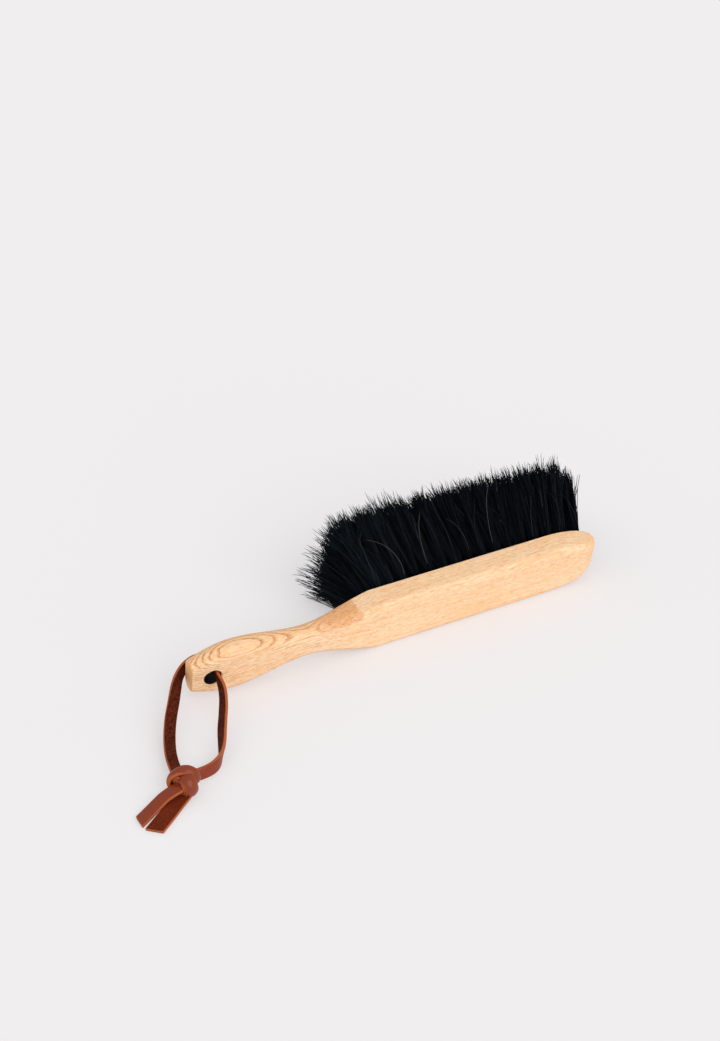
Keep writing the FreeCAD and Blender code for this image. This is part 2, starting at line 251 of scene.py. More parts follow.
class BroomThong(bpy.types.PropertyGroup):
    """Sizes and colours of the leather thong."""

    width: length("Strap width", "Width of the leather strap", 0.0080)
    smooth_width: length("Smooth tail width", "Width of the tail that lies smooth side up", 0.0088)
    rough_width: length("Rough tail width", "Width of the tail that lies rough side up", 0.0114)
    knot_width: length("Knot width", "Width of the wide band over the knot", 0.0090)
    fold_width: length("Fold width", "Width of the fold over the knot's top and of its core", 0.0066)
    under_width: length("Under width", "Width of the band beneath the wide one", 0.0050)
    smooth_slant: length("Smooth tail slant", "How far the smooth tail is cut aslant", 0.0022)
    rough_slant: length("Rough tail slant", "How far the rough tail is cut aslant", -0.0013)
    thickness: length("Strap thickness", "Thickness of the leather strap", 0.0022)
    corner: length("Strap corner", "Corner radius of the strap's section", 0.0005)
    smooth: colour("Smooth side", "Grain side of the leather", 136, 54, 24)
    rough: colour("Rough side", "Flesh side of the leather", 112, 38, 13)
    # The worn colour darkens real patches of the flesh side and also serves as painted shade towards the handle.
    worn_and_shade: colour("Worn side", "Darkened patches of the flesh side", 46, 13, 5)
    cut: colour("Cut edge", "Cut edges of the strap", 188, 104, 60)


class BroomStage(bpy.types.PropertyGroup):
    """Camera, light and floor."""

    aim: FloatVectorProperty(
        name="Aim",
        description="Point the camera looks at",
        default=(-0.015657, 0.022768, 0.0703),
        unit="LENGTH",
    )
    heading: angle("Heading", "Camera's turn from straight along the depth", 27.45)
    pitch: angle("Pitch", "Camera's tilt down", 33.48)
    distance: length("Distance", "From the camera to the aim", 1.1838)
    lens: number("Lens", "Focal length in millimetres", 57.89)
    shift: number("Shift", "Vertical lens shift", -0.0053)
    floor_size: length("Floor size", "Side of the floor", 12.0)
    floor: colour("Floor", "Pale floor", 247, 245, 246)
    tone: colour("Floor tone", "Even tone of the floor", 240, 238, 239)
    evenness: number("Evenness", "Share of the even tone in the floor", 0.5)
    sky: number("Sky", "Strength of the even light", 0.71)
    key: number("Key", "Strength of the soft sun", 1.30)
    key_angle: angle("Key angle", "How wide the soft sun is", 55)
    key_right: number("Key right", "Share of the sun from the right", 0.75)
    key_front: number("Key front", "Share of the sun from the front", 0.95)
    key_above: number("Key above", "Share of the sun from above", 0.80)


class Socket:
    """A node's output, so that shader maths can be written as expressions on values."""

    def __init__(self, graph, output):
        self.graph = graph
        self.output = output

    def math(self, operation, first, second=0.0):
        """One Math node."""
        return self.graph.add("ShaderNodeMath", {"operation": operation}, {0: first, 1: second})

    def __add__(self, other):
        return self.math("ADD", self, other)

    def __radd__(self, other):
        return self.math("ADD", other, self)

    def __sub__(self, other):
        return self.math("SUBTRACT", self, other)

    def __rsub__(self, other):
        return self.math("SUBTRACT", other, self)

    def __mul__(self, other):
        return self.math("MULTIPLY", self, other)

    def __rmul__(self, other):
        return self.math("MULTIPLY", other, self)

    def __truediv__(self, other):
        return self.math("DIVIDE", self, other)

    def __pow__(self, other):
        return self.math("POWER", self, other)

    def __abs__(self):
        return self.math("ABSOLUTE", self)

    def fraction(self):
        """The part after the decimal point."""
        return self.math("FRACT", self)

    def smooth(self, low, high):
        """0 below low, 1 above high and a smooth rise between, or a fall where low is above high."""
        settings = {"interpolation_type": "SMOOTHSTEP"}
        return self.graph.add("ShaderNodeMapRange", settings, {"Value": self, 1: low, 2: high})


class Finish:
    """A material whose nodes are added by one method."""

    def __init__(self, name):
        self.material = bpy.data.materials.new(name)
        self.material.use_nodes = True
        self.tree = self.material.node_tree
        self.shader = self.tree.nodes["Principled BSDF"]

    def add(self, kind, settings, inputs, output=0):
        """A node of that kind, with its settings made first and then its sockets set or linked."""
        node = self.tree.nodes.new(kind)
        for name, value in settings.items():
            setattr(node, name, value)
        for name, value in inputs.items():
            self.feed(node.inputs[name], value)
        return Socket(self, node.outputs[output])

    def feed(self, socket, value):
        """Links a socket, or sets it to a number or a colour."""
        if isinstance(value, Socket):
            self.tree.links.new(value.output, socket)
        elif socket.type == "RGBA":
            socket.default_value = (*value, 1.0)
        else:
            socket.default_value = value

    def set(self, **inputs):
        """Sets or links the shader's own sockets, named in words joined by underscores."""
        for name, value in inputs.items():
            self.feed(self.shader.inputs[name.replace("_", " ").title().replace("Ior", "IOR")], value)

    def mix(self, share, first, second):
        """Colour from first at share 0 to second at share 1."""
        return self.add("ShaderNodeMix", {"data_type": "RGBA"}, {0: share, 6: first, 7: second}, 2)

    def vector(self, operation, first, second):
        """One Vector Math node on two vectors."""
        return self.add("ShaderNodeVectorMath", {"operation": operation}, {0: first, 1: second})

    def dot(self, first, second):
        """How far one vector goes along another."""
        return self.add("ShaderNodeVectorMath", {"operation": "DOT_PRODUCT"}, {0: first, 1: second}, 1)

    def length(self, vector):
        """The length of a vector."""
        return self.add("ShaderNodeVectorMath", {"operation": "LENGTH"}, {0: vector}, 1)

    def noise(self, vector, scale, detail=2.0, roughness=0.5):
        """A noise value about 0.5."""
        inputs = {"Vector": vector, "Scale": scale, "Detail": detail, "Roughness": roughness}
        return self.add("ShaderNodeTexNoise", {}, inputs)

    def attribute(self, name):
        """A value that the mesh holds at each point."""
        return self.add("ShaderNodeAttribute", {"attribute_name": name}, {}, 2)

    def bump(self, height, strength, distance):
        """A Bump node that feeds the shader's Normal."""
        inputs = {"Height": height, "Strength": strength, "Distance": distance}
        self.set(normal=self.add("ShaderNodeBump", {}, inputs))


def oak_finish(wood):
    """Flat-sawn oak: growth layers tilted to the upper back corner, which draw nested ovals on the belly
    and faint lines along the back, with dark flecks, painted glints and pores along the grain, soft streaks,
    a warmer neck, painted shade on the lower side, darker ends and painted shade on the bore's wall."""
    oak = Finish("oak")
    place = oak.add("ShaderNodeTexCoord", {}, {}, 3)
    placed = {"Vector": place, "Location": WOOD_PLACE, "Rotation": (WOOD_ROLL, 0, 0), "Scale": (MM, MM, MM)}
    grain = oak.add("ShaderNodeMapping", {"vector_type": "TEXTURE"}, placed)
    normal = oak.add("ShaderNodeNewGeometry", {}, {}, 1)
    facing_end = abs(oak.dot(normal, ALONG))
    facing_up = oak.dot(normal, ACROSS)
    side = abs(facing_up).smooth(0.25, 0.95)
    along = oak.dot(grain, ALONG)

    def fibre(lengthwise, crosswise, detail, roughness=0.5):
        """Noise drawn out along the grain, with its two frequencies in turns to the millimetre."""
        stretched = oak.vector("MULTIPLY", grain, (lengthwise, crosswise, crosswise))
        return oak.noise(stretched, 1.0, detail, roughness)

    wander = fibre(0.012, 0.09, 1.0) - 0.5
    ripple = fibre(0.085, 0.4, 2.0) - 0.5
    rings = oak.dot(grain, LAYER_WAY) + 1.8 * wander + 1.15 * ripple
    year = (rings / (wood.ring_spacing / MM) - LAYER_PHASE).fraction()
    line = year.smooth(0.48, 0.92) * year.smooth(1.0, 0.95)
    streak = fibre(0.016, 0.28, 3.0, 0.6).smooth(0.38, 0.70)
    fleck = fibre(0.16, 1.15, 3.0, 0.7).smooth(0.46, 0.66)
    glint = fibre(0.11, 0.85, 2.0, 0.6).smooth(0.52, 0.70)
    pore = fibre(0.27, 2.1, 2.0, 0.6).smooth(0.58, 0.70)
    handle = along.smooth(NECK_START + GRAIN_FADE, NECK_START)
    stop = wood.stop_place / MM
    neck = along.smooth(NECK_START, NECK_START + TINT_RISE) * along.smooth(stop + 1.6, stop - 0.4)
    neck = neck * facing_up.smooth(0.15, 0.5)
    heart = oak.vector("DIVIDE", oak.vector("SUBTRACT", grain, OVAL_MIDDLE), OVAL_SIZE)
    strength = (0.16 + handle * (0.56 + 0.44 * side)) * (0.5 + 0.5 * fleck)
    shown = line * oak.length(heart).smooth(0.7, 1.0) * strength

    tint = oak.mix(0.65 * streak, wood.pale, wood.warm)
    tint = oak.mix((0.12 + 0.33 * handle) * side, tint, wood.warm)
    tint = oak.mix(0.62 * fleck, tint, wood.fleck)
    # Painted glints: short highlights along the grain.
    tint = oak.mix(0.55 * glint, tint, wood.glint)
    tint = oak.mix(neck * (0.55 + 0.35 * fleck), tint, wood.neck)
    # Painted shade: surfaces facing down turn towards the neck colour.
    tint = oak.mix(0.45 * facing_up.smooth(-0.2, -0.75), tint, wood.neck)
    tint = oak.mix(shown, tint, wood.line)
    tint = oak.mix(0.40 * pore, tint, wood.pore)
    tint = oak.mix(0.75 * facing_end.smooth(0.3, 0.8), tint, wood.end_grain)
    # Painted shade on the bore's wall, near the hole's axis.
    from_hole = oak.vector("SUBTRACT", grain, (HOLE_MIDDLE - WOOD_PLACE) @ ALONG / MM * ALONG)
    from_axis = oak.length(oak.vector("MULTIPLY", from_hole, (1.0, 0.0, 1.0)))
    bore = wood.hole_diameter / 2 / MM
    tint = oak.mix(from_axis.smooth(bore + 0.5, bore + 0.1), tint, wood.bore)
    oak.set(base_color=tint, roughness=0.5 + 0.12 * fleck)
    oak.bump(0.0 - 0.5 * pore - 0.25 * shown - 0.3 * fleck, 0.4, 0.0002)
    return oak.material


def hair_finish(name, dark, light):
    """Horsehair whose hairs differ in tone, a little paler towards their trimmed ends; on the bristles the paler
    colour is a painted sheen.
    """
    hair = Finish(name)
    tone = hair.attribute("tone")
    reach = hair.attribute("reach")
    hair.set(base_color=hair.mix(tone**3.0 * (0.6 + 0.4 * reach), dark, light))
    hair.set(roughness=0.45 + 0.2 * tone, specular_ior_level=0.05)
    return hair.material


def leather_finish(thong):
    """Red-brown leather: a smooth side with fine creases, a rough side with nap and dark worn patches, with
    painted shade that darkens it towards the handle, and pale cut edges."""
    leather = Finish("thong_leather")
    place = leather.add("ShaderNodeTexCoord", {}, {}, 3)
    rough = leather.attribute("rough_side")
    cut = leather.attribute("cut_edge")
    mottle = leather.noise(place, 700.0, 3.0, 0.75)
    patch = leather.noise(place, 95.0, 2.0)
    nap = leather.noise(place, 1500.0, 3.0, 0.7)
    crease = leather.noise(place, 700.0, 2.0)
    tint = leather.mix(rough, thong.smooth, thong.rough)
    tint = leather.mix(0.45 * (1.0 - rough) * mottle.smooth(0.45, 0.75), tint, thong.rough)
    # Painted shade: the flesh side darkens along Y towards the handle, mixed with the real worn patches.
    painted_shade = leather.dot(place, (0.0, 1.0, 0.0)).smooth(SHADE_START, SHADE_FULL)
    worn_and_shade = 0.12 + 0.75 * painted_shade + 0.28 * patch.smooth(0.36, 0.60)
    worn_and_shade = worn_and_shade * (0.35 + 0.65 * mottle.smooth(0.42, 0.58))
    tint = leather.mix(rough * worn_and_shade, tint, thong.worn_and_shade)
    tint = leather.mix(cut * (0.55 + 0.45 * nap), tint, thong.cut)
    tint = leather.mix(0.35 * rough * nap.smooth(0.54, 0.68), tint, thong.cut)
    polished = (1.0 - rough) * (1.0 - cut)
    leather.set(base_color=tint, roughness=0.5 + 0.3 * rough + 0.12 * (nap - 0.5))
    leather.set(coat_weight=0.45 * polished, coat_roughness=0.2, specular_ior_level=0.1)
    leather.bump(nap * (0.25 + 0.75 * rough) + 0.5 * crease, 0.45, 0.0002)
    return leather.material


def wire_finish():
    """Drawn steel wire of the anchors, with fine marks along it."""
    wire = Finish("anchor_wire")
    place = wire.add("ShaderNodeTexCoord", {}, {}, 3)
    mark = wire.noise(wire.vector("MULTIPLY", place, (4000.0, 4000.0, 400.0)), 1.0)
    wire.set(base_color=wire.mix(mark, WIRE_DARK, WIRE_LIGHT), roughness=0.3 + 0.2 * mark, metallic=1.0)
    return wire.material


def floor_finish(stage):
    """Pale matt floor, which partly shows the camera an even tone, so that shadows on it stay faint."""
    floor = Finish("floor")
    floor.set(base_color=stage.floor, roughness=0.9, specular_ior_level=0.0)
    seen = floor.add("ShaderNodeLightPath", {}, {}, 0) + floor.add("ShaderNodeLightPath", {}, {}, 3)
    even = floor.add("ShaderNodeEmission", {}, {"Color": stage.tone, "Strength": 1.0})
    lit = Socket(floor, floor.shader.outputs[0])
    mixed = floor.add("ShaderNodeMixShader", {}, {0: stage.evenness * seen, 1: lit, 2: even})
    floor.feed(floor.tree.nodes["Material Output"].inputs["Surface"], mixed)
    return floor.material


def put_mesh(name, points, faces, values=None):
    """A mesh object from an array of points and arrays of faces, each array with faces of one size.
    Values are named arrays with one number for each point."""
    mesh = bpy.data.meshes.new(name)
    points = np.asarray(points, dtype=np.float32).reshape(-1, 3)
    corners = np.concatenate([group.ravel() for group in faces]).astype(np.int32)
    sizes = np.concatenate([np.full(len(group), group.shape[1]) for group in faces])
    starts = np.concatenate([[0], np.cumsum(sizes)[:-1]]).astype(np.int32)
    mesh.vertices.add(len(points))
    mesh.vertices.foreach_set("co", points.ravel())
    mesh.loops.add(len(corners))
    mesh.loops.foreach_set("vertex_index", corners)
    mesh.polygons.add(len(sizes))
    mesh.polygons.foreach_set("loop_start", starts)
    for label, numbers in (values or {}).items():
        layer = mesh.attributes.new(label, "FLOAT", "POINT")
        layer.data.foreach_set("value", np.asarray(numbers, dtype=np.float32).ravel())
    mesh.update(calc_edges=True)
    mesh.shade_smooth()
    piece = bpy.data.objects.new(name, mesh)
    bpy.context.scene.collection.objects.link(piece)
    return piece


def quads(rows, columns):
    """Faces of a grid of rows, each a closed loop of columns."""
    row, column = np.meshgrid(np.arange(rows - 1), np.arange(columns), indexing="ij")
    turned = (column + 1) % columns
    corners = [row * columns + column, row * columns + turned]
    corners += [(row + 1) * columns + turned, (row + 1) * columns + column]
    return np.stack(corners, axis=-1).reshape(-1, 4)


def close_up(piece, gap=1e-6):
    """Merges the points that meet at seams and poles, and turns every face outwards."""
    shape = bmesh.new()
    shape.from_mesh(piece.data)
    bmesh.ops.remove_doubles(shape, verts=shape.verts, dist=gap)
    bmesh.ops.dissolve_degenerate(shape, edges=shape.edges, dist=gap)
    bmesh.ops.recalc_face_normals(shape, faces=shape.faces)
    shape.to_mesh(piece.data)
    shape.free()


def dress(piece, body, material):
    """Gives a piece its body and its material."""
    piece.data.materials.append(material)
    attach(piece, body)


def unit(vectors):
    """Vectors of length 1."""
    return vectors / np.linalg.norm(vectors, axis=-1, keepdims=True)


def in_rest(along, depth, across):
    """Places points of the wood's own frame in the shared frame."""
    parts = np.broadcast_arrays(along, depth, across)
    return WOOD_PLACE + sum(part[..., None] * way for part, way in zip(parts, (ALONG, DEPTH, ACROSS)))


def cosine_blend(start, end, share):
    """Start at share 0, end at share 1 and level at both."""
    return start + (end - start) * (1 - np.cos(np.pi * np.clip(share, 0, 1))) / 2


def wood_section(along, wood, stopped=True):
    """Half width, back, face and the two corner radii of the wood at places along it: a sine swell from
    the end to the belly, a cosine narrowing to the waist, a power curve out to the shoulder and a half
    ellipse round the tip, where an arc brings the back up to the nose. On the upper side the handle's
    rounding stops short of the head."""
    swell = np.sin(np.pi / 2 * np.clip(along / wood.belly_from_end, 0, 1))
    narrowing = (along - wood.belly_from_end) / (wood.waist_from_end - wood.belly_from_end)
    neck = np.clip((along - wood.waist_from_end) / (wood.handle_length - wood.waist_from_end), 0, 1)
    past = np.clip(along - (wood.block_length - wood.tip_length), 0, None)
    places = [along <= wood.belly_from_end, along <= wood.waist_from_end]

    def sized(end, belly, waist, onward):
        """A size that swells to the belly and narrows to the waist, with its onward sizes given."""
        handle = [end + (belly - end) * swell, cosine_blend(belly, waist, narrowing)]
        return np.select(places, handle, onward)

    width = wood.waist_width + (wood.head_width - wood.waist_width) * neck**wood.shoulder_power
    width = sized(wood.end_width, wood.belly_width, wood.waist_width, width)
    thickness = cosine_blend(wood.waist_thickness, wood.head_thickness, neck)
    thickness = sized(wood.end_thickness, wood.belly_thickness, wood.waist_thickness, thickness)
    half = width / 2 * np.sqrt(1 - (past / tip_reach(wood)) ** 2)
    middle = wood.head_thickness / 2 + cosine_blend(wood.handle_offset, 0, neck)
    rise = wood.head_thickness - wood.nose_thickness
    run = math.sqrt(wood.nose_round**2 - (wood.nose_round - rise) ** 2)
    over = np.clip(past - (wood.tip_length - run), 0, None)
    back = middle - thickness / 2 + wood.nose_round - np.sqrt(wood.nose_round**2 - over**2)
    face = middle + thickness / 2
    if stopped:
        back_round = cosine_blend(wood.handle_round, wood.stop_round, neck)
        back_round = cosine_blend(back_round, wood.back_round, (along - wood.stop_place) / wood.stop_run)
    else:
        back_round = cosine_blend(wood.handle_round, wood.back_round, neck)
    face_round = cosine_blend(wood.handle_round, wood.face_round, neck)
    most = np.minimum(2 * half, face - back) / 2 - LEAST_FLAT
    return half, back, face, np.minimum(back_round, most), np.minimum(face_round, most)


def tip_reach(wood):
    """Length of the tip's half ellipse, of which the flat nose cuts off the end."""
    return wood.tip_length / math.sqrt(1 - (wood.nose_width / wood.head_width) ** 2)


def half_outline(along, inset, wood, stopped):
    """Depth and across of half the wood's section at places along it, drawn in by an inset: from the middle
    of the back, round the two rounded corners, to the middle of the face, as flats and quarter circles."""
    half, level, top, back, face = (size[:, None] for size in wood_section(along, wood, stopped))
    inset = inset[:, None]
    half, level, top = half - inset, level + inset, top - inset
    back, face = np.maximum(back - inset, LEAST_ROUND), np.maximum(face - inset, LEAST_ROUND)
    flat = np.linspace(0, 1, 7)[None, :]
    turn = np.linspace(0, np.pi / 2, 11)[None, 1:]
    wall = np.linspace(0, 1, 5)[None, 1:]
    depth = [
        level + 0 * flat,
        level + back - back * np.cos(turn),
        level + back + (top - level - back - face) * wall,
        top - face + face * np.sin(turn),
        top + 0 * flat[:, 1:],
    ]
    across = [
        (half - back) * flat,
        half - back + back * np.sin(turn),
        half + 0 * wall,
        half - face + face * np.cos(turn),
        (half - face) * (1 - flat[:, 1:]),
    ]
    return np.concatenate(depth, axis=1), np.concatenate(across, axis=1)


def wood_surface(wood):
    """Rows of the wood's outline: stations along the handle and head and round the tip, with a worn edge
    and a flat at both ends."""
    turn = np.linspace(0, np.pi / 2, 5)
    ease_along = wood.end_ease * np.concatenate([[0, 0], 1 - np.cos(turn)])
    ease_in = wood.end_ease * np.concatenate([[1, 1], 1 - np.sin(turn)])
    handle = np.arange(1.5 * MM, wood.stop_place, MM)
    stop = wood.stop_place + wood.stop_run * np.linspace(0, 1, 9)
    neck = np.linspace(wood.stop_place + wood.stop_run + MM / 2, wood.handle_length, 9)
    tip_start = wood.block_length - wood.tip_length
    head = np.linspace(wood.handle_length + MM / 2, tip_start, 30)
    last = math.asin((wood.tip_length - 1.5 * wood.end_ease) / tip_reach(wood))
    tip = tip_start + tip_reach(wood) * np.sin(np.linspace(0, last, 40)[1:])
    nose = wood.block_length - ease_along[::-1]
    along = np.concatenate([ease_along, handle, stop, neck, head, tip, nose])
    between = np.zeros(len(along) - 2 * len(ease_in))
    inset = np.concatenate([ease_in, between, ease_in[::-1]])
    depth, across = half_outline(along, inset, wood, stopped=True)
    lower_depth, lower_across = half_outline(along, inset, wood, stopped=False)
    depth = np.concatenate([depth, lower_depth[:, -2:0:-1]], axis=1)
    across = np.concatenate([across, -lower_across[:, -2:0:-1]], axis=1)
    depth[[0, -1]] = depth[[0, -1]].mean(axis=1, keepdims=True)
    across[[0, -1]] = 0
    return in_rest(along[:, None] + 0 * depth, depth, across)


def hole_surface(wood, sides=64):
    """Rows of the tool that cuts the thong hole: a cylinder flared by quarter circles at both faces."""
    middle = (HOLE_MIDDLE - WOOD_PLACE) @ ALONG
    back, face = (size[0] for size in wood_section(np.array([middle]), wood)[1:3])
    thickness = face - back
    ease = wood.hole_ease
    inner = np.linspace(0, 1, 9) * ease
    depth = np.concatenate([[-4 * ease], inner, thickness - inner[::-1], [thickness + 4 * ease]])
    within = np.clip(np.minimum(depth, thickness - depth), 0, ease)
    radius = wood.hole_diameter / 2 + ease - np.sqrt(ease**2 - (ease - within) ** 2)
    turn = np.linspace(0, 2 * np.pi, sides, endpoint=False)[None, :]
    rows = in_rest(
        middle + radius[:, None] * np.cos(turn), back + depth[:, None], radius[:, None] * np.sin(turn)
    )
    ends = [in_rest(middle, back + end, 0.0) + np.zeros((1, sides, 3)) for end in (depth[0], depth[-1])]
    return np.concatenate([ends[0], rows, ends[1]])


def cut_away(piece, tool):
    """Cuts the tool's shape out of the piece and removes the tool."""
    cut = piece.modifiers.new("hole", "BOOLEAN")
    cut.operation = "DIFFERENCE"
    cut.solver = "EXACT"
    cut.object = tool
    graph = bpy.context.evaluated_depsgraph_get()
    mesh = bpy.data.meshes.new_from_object(piece.evaluated_get(graph))
    piece.modifiers.clear()
    piece.data = mesh
    bpy.data.objects.remove(tool)


def tuft_seats(row, hair):
    """Mouths, directions, trims and shares of a row's tufts in the wood's own frame: even steps along the
    row, a fan along the head by the square of the share of the row, and a fan across by the row."""
    wood = bpy.context.scene.broom_wood
    from_middle = row - (ROWS - 1) / 2
    outward = from_middle * 2 / (ROWS - 1)
    across = from_middle * hair.row_spacing
    start = hair.field_start + hair.field_corner * outward**2
    edge = (abs(across) + hair.field_edge) / (wood.head_width / 2)
    end = wood.block_length - wood.tip_length + tip_reach(wood) * math.sqrt(1 - edge**2)
    end = min(end, hair.field_end)
    along = np.linspace(start, end, round((end - start) / hair.tuft_pitch) + 1)
    share = (along - hair.field_start) / (hair.field_end - hair.field_start)
    along_row = (along - start) / (end - start)
    tip_lean = hair.tip_lean + hair.outer_lean * abs(outward)
    heel_lean = hair.heel_lean + hair.lower_lean * max(-outward, 0)
    lean = np.tan(tip_lean * along_row**2 - heel_lean * (1 - along_row) ** 2)
    fan = math.tan(hair.row_lean * outward)
    level = np.ones_like(along)
    mouths = np.stack([along, wood.head_thickness * level, across * level], axis=1)
    ways = unit(np.stack([lean, level, fan * level], axis=1))
    return mouths, ways, hair.heel_trim + (hair.tip_trim - hair.heel_trim) * share, share


def strands(root, middle, tip, curl, radius, share):
    """Points and faces of hairs, and how far along its hair each point lies: each hair follows a parabola
    from root to tip drawn towards middle, and is bent aside by curl with the sixth power of the share, as a
    three-sided tube that thins to a point, with its root closed."""
    rings = len(share) - 1
    reach = np.concatenate([np.repeat(share[:rings], HAIR_SIDES), [1.0]])
    share = share[None, :, None]
    line = (1 - share) ** 2 * root[:, None] + 2 * share * (1 - share) * middle[:, None]
    line += share**2 * tip[:, None] + share**6 * curl[:, None]
    line[..., 2] = np.maximum(line[..., 2], 2 * radius)
    way = unit(np.gradient(line, axis=1))
    side = unit(np.cross(way, ALONG))
    over = np.cross(way, side)
    turn = np.linspace(0, 2 * np.pi, HAIR_SIDES, endpoint=False)[None, None, :, None]
    thick = (radius * (1 - HAIR_TAPER * share**2))[..., None]
    ring = line[:, :, None] + thick * (np.cos(turn) * side[:, :, None] + np.sin(turn) * over[:, :, None])
    count = len(root)
    points = np.concatenate([ring[:, :rings].reshape(count, -1, 3), line[:, -1:]], axis=1)
    first = (np.arange(count) * (HAIR_SIDES * rings + 1))[:, None, None]
    walls = (first + quads(rings, HAIR_SIDES)[None]).reshape(-1, 4)
    point = np.array([[0, 1, 3], [1, 2, 3], [2, 0, 3]]) + HAIR_SIDES * (rings - 1)
    ends = np.vstack([point, [[0, 2, 1]]])
    return points, [walls, (first + ends[None]).reshape(-1, 3)], np.broadcast_to(reach, points.shape[:2])


def disc(chance, shape):
    """Points spread evenly over a disc of radius 1 that lies level with the face."""
    turn = chance.uniform(0, 2 * np.pi, shape)
    out = np.sqrt(chance.uniform(0, 1, shape))
    return np.stack([out * np.cos(turn), 0 * out, out * np.sin(turn)], axis=-1)


def row_hairs(row, hair):
    """Root, middle, tip and curl of a row's hairs, and their tones: each tuft is a fan of locks that spread
    evenly over a disc and differ in length and bend, with curled ends. Some hairs of the first and last
    tufts splay over the handle and past the tip, and the first tufts get a little more painted sheen."""
    chance = np.random.default_rng(hair.seed + row)
    mouths, ways, trims, share = tuft_seats(row, hair)
    tufts, locks, hairs = len(mouths), hair.locks, hair.lock_hairs
    level = (1, 0, 1)
    fan = disc(chance, (tufts, locks))
    uneven = chance.normal(0, LOCK_TRIM, (tufts, locks)) + chance.normal(0, TUFT_TRIM, (tufts, 1))
    trim = trims[:, None] * (1 + uneven)
    shift = fan * hair.tip_radius + chance.normal(0, LOCK_SHIFT, (tufts, locks, 3)) * level
    bend = shift * BEND_SPREAD + chance.normal(0, LOCK_BEND, (tufts, locks, 3)) * level

    own = np.abs(chance.normal(0, 1, (tufts, locks, hairs)))
    grown = trim[..., None] * (LONGEST - TRIM_LOSS * own)
    short = chance.uniform(0, 1, own.shape) < SHORT_HAIRS
    grown *= np.where(short, chance.uniform(SHORTEST, 1, own.shape), 1)
    loose = chance.uniform(0, 1, own.shape) ** SPLAY_POWER
    heel = np.exp(-HEEL_FADE * share)[:, None, None] * np.tan(hair.heel_splay)
    past = np.exp(-TIP_FADE * (1 - share))[:, None, None] * np.tan(hair.tip_splay)
    way = unit(ways[:, None, None] + (loose * (past - heel))[..., None] * (1, 0, 0))
    start = mouths[:, None, None] - ways[:, None, None] * MM
    root = start + fan[:, :, None] * hair.root_radius
    root = root + chance.normal(0, HAIR_ROOT, (*own.shape, 3)) * level
    tip = start + way * grown[..., None] + shift[:, :, None]
    tip += chance.normal(0, HAIR_TIP, (*own.shape, 3)) * level
    middle = start + ways[:, None, None] * grown[..., None] * BEND_PLACE + bend[:, :, None]
    middle += chance.normal(0, HAIR_BEND, (*own.shape, 3)) * level
    curl = chance.normal(0, LOCK_CURL, (tufts, locks, 1, 3)) + chance.normal(0, HAIR_CURL, (*own.shape, 3))
    tone = LOCK_TONE * chance.uniform(0, 1, (tufts, locks, 1))
    tone = tone + (1 - LOCK_TONE) * chance.uniform(0, 1, own.shape)
    # Painted sheen: the hairs of the first tufts are lighter.
    tone += HEEL_SHEEN * np.exp(-HEEL_SHEEN_FADE * share)[:, None, None]
    ends = [in_rest(*np.moveaxis(place.reshape(-1, 3), 1, 0)) for place in (root, middle, tip)]
    return [*ends, curl.reshape(-1, 3)], tone.ravel()


def stray_hairs(hair):
    """Root, middle, tip and curl of loose hairs: they start in the two upper rows and bow out."""
    chance = np.random.default_rng(hair.seed)
    seats = [tuft_seats(row, hair) for row in (ROWS - 2, ROWS - 1)]
    mouths, ways, trims = (np.concatenate([seat[index] for seat in seats]) for index in (0, 1, 2))
    pick = chance.integers(0, len(mouths), hair.strays)
    sway = chance.normal(0, 1, (hair.strays, 1)) * ALONG
    lift = chance.uniform(*STRAY_LIFT, (hair.strays, 1)) * np.array([0, 0, 1])
    reach = trims[pick, None] * chance.uniform(*STRAY_REACH, (hair.strays, 1))
    root = mouths[pick] - ways[pick] * MM
    tip = mouths[pick] + ways[pick] * reach + STRAY_TIP[0] * sway + STRAY_TIP[1] * lift
    middle = mouths[pick] + ways[pick] * reach / 2 + STRAY_MIDDLE[0] * sway + STRAY_MIDDLE[1] * lift
    curl = chance.normal(0, STRAY_CURL, (hair.strays, 3))
    return [*(in_rest(*place.T) for place in (root, middle, tip)), curl]


def cord_line(route):
    """Points of the smooth line that the route's points draw as control points."""
    curve = bpy.data.curves.new("thong_line", "CURVE")
    curve.dimensions = "3D"
    curve.resolution_u = 10
    spline = curve.splines.new("NURBS")
    spline.points.add(len(route) - 1)
    spline.points.foreach_set("co", np.hstack([route, np.ones((len(route), 1))]).ravel())
    spline.order_u = 3
    spline.use_endpoint_u = True
    holder = bpy.data.objects.new("thong_line", curve)
    mesh = bpy.data.meshes.new_from_object(holder)
    line = np.empty(3 * len(mesh.vertices))
    mesh.vertices.foreach_get("co", line)
    bpy.data.objects.remove(holder)
    return line.reshape(-1, 3)


def travelled(line):
    """How far along a line of points each of them lies."""
    return np.concatenate([[0], np.cumsum(np.linalg.norm(np.diff(line, axis=0), axis=1))])


def strap_outline(thong, width, crown):
    """The strap's section as a loop of points (across, through), a rectangle with rounded corners whose
    smooth side is crowned, with how far each point is on the rough side and on a cut edge."""
    corner = thong.corner
    half = np.array([width / 2 - corner, thong.thickness / 2 - corner])
    turn = np.linspace(0, np.pi / 2, 4)
    flat = np.linspace(-1, 1, 9)[1:-1]
    arc = corner * np.stack([np.cos(turn), np.sin(turn)], axis=1)
    top = np.stack([-flat * half[0], np.full_like(flat, half[1] + corner)], axis=1)
    upper = np.concatenate([arc + half, top, arc[::-1] * (-1, 1) + half * (-1, 1)])
    loop = np.concatenate([upper, -upper])
    edge = np.clip((np.abs(loop[:, 0]) - half[0]) / corner * 1.4, 0, 1)
    rough = (loop[:, 1] < 0).astype(float)
    rise = crown * (1 - (loop[:, 0] / (width / 2)) ** 2) * (1 - rough)
    return loop + np.stack([0 * rise, rise], axis=1), rough, edge


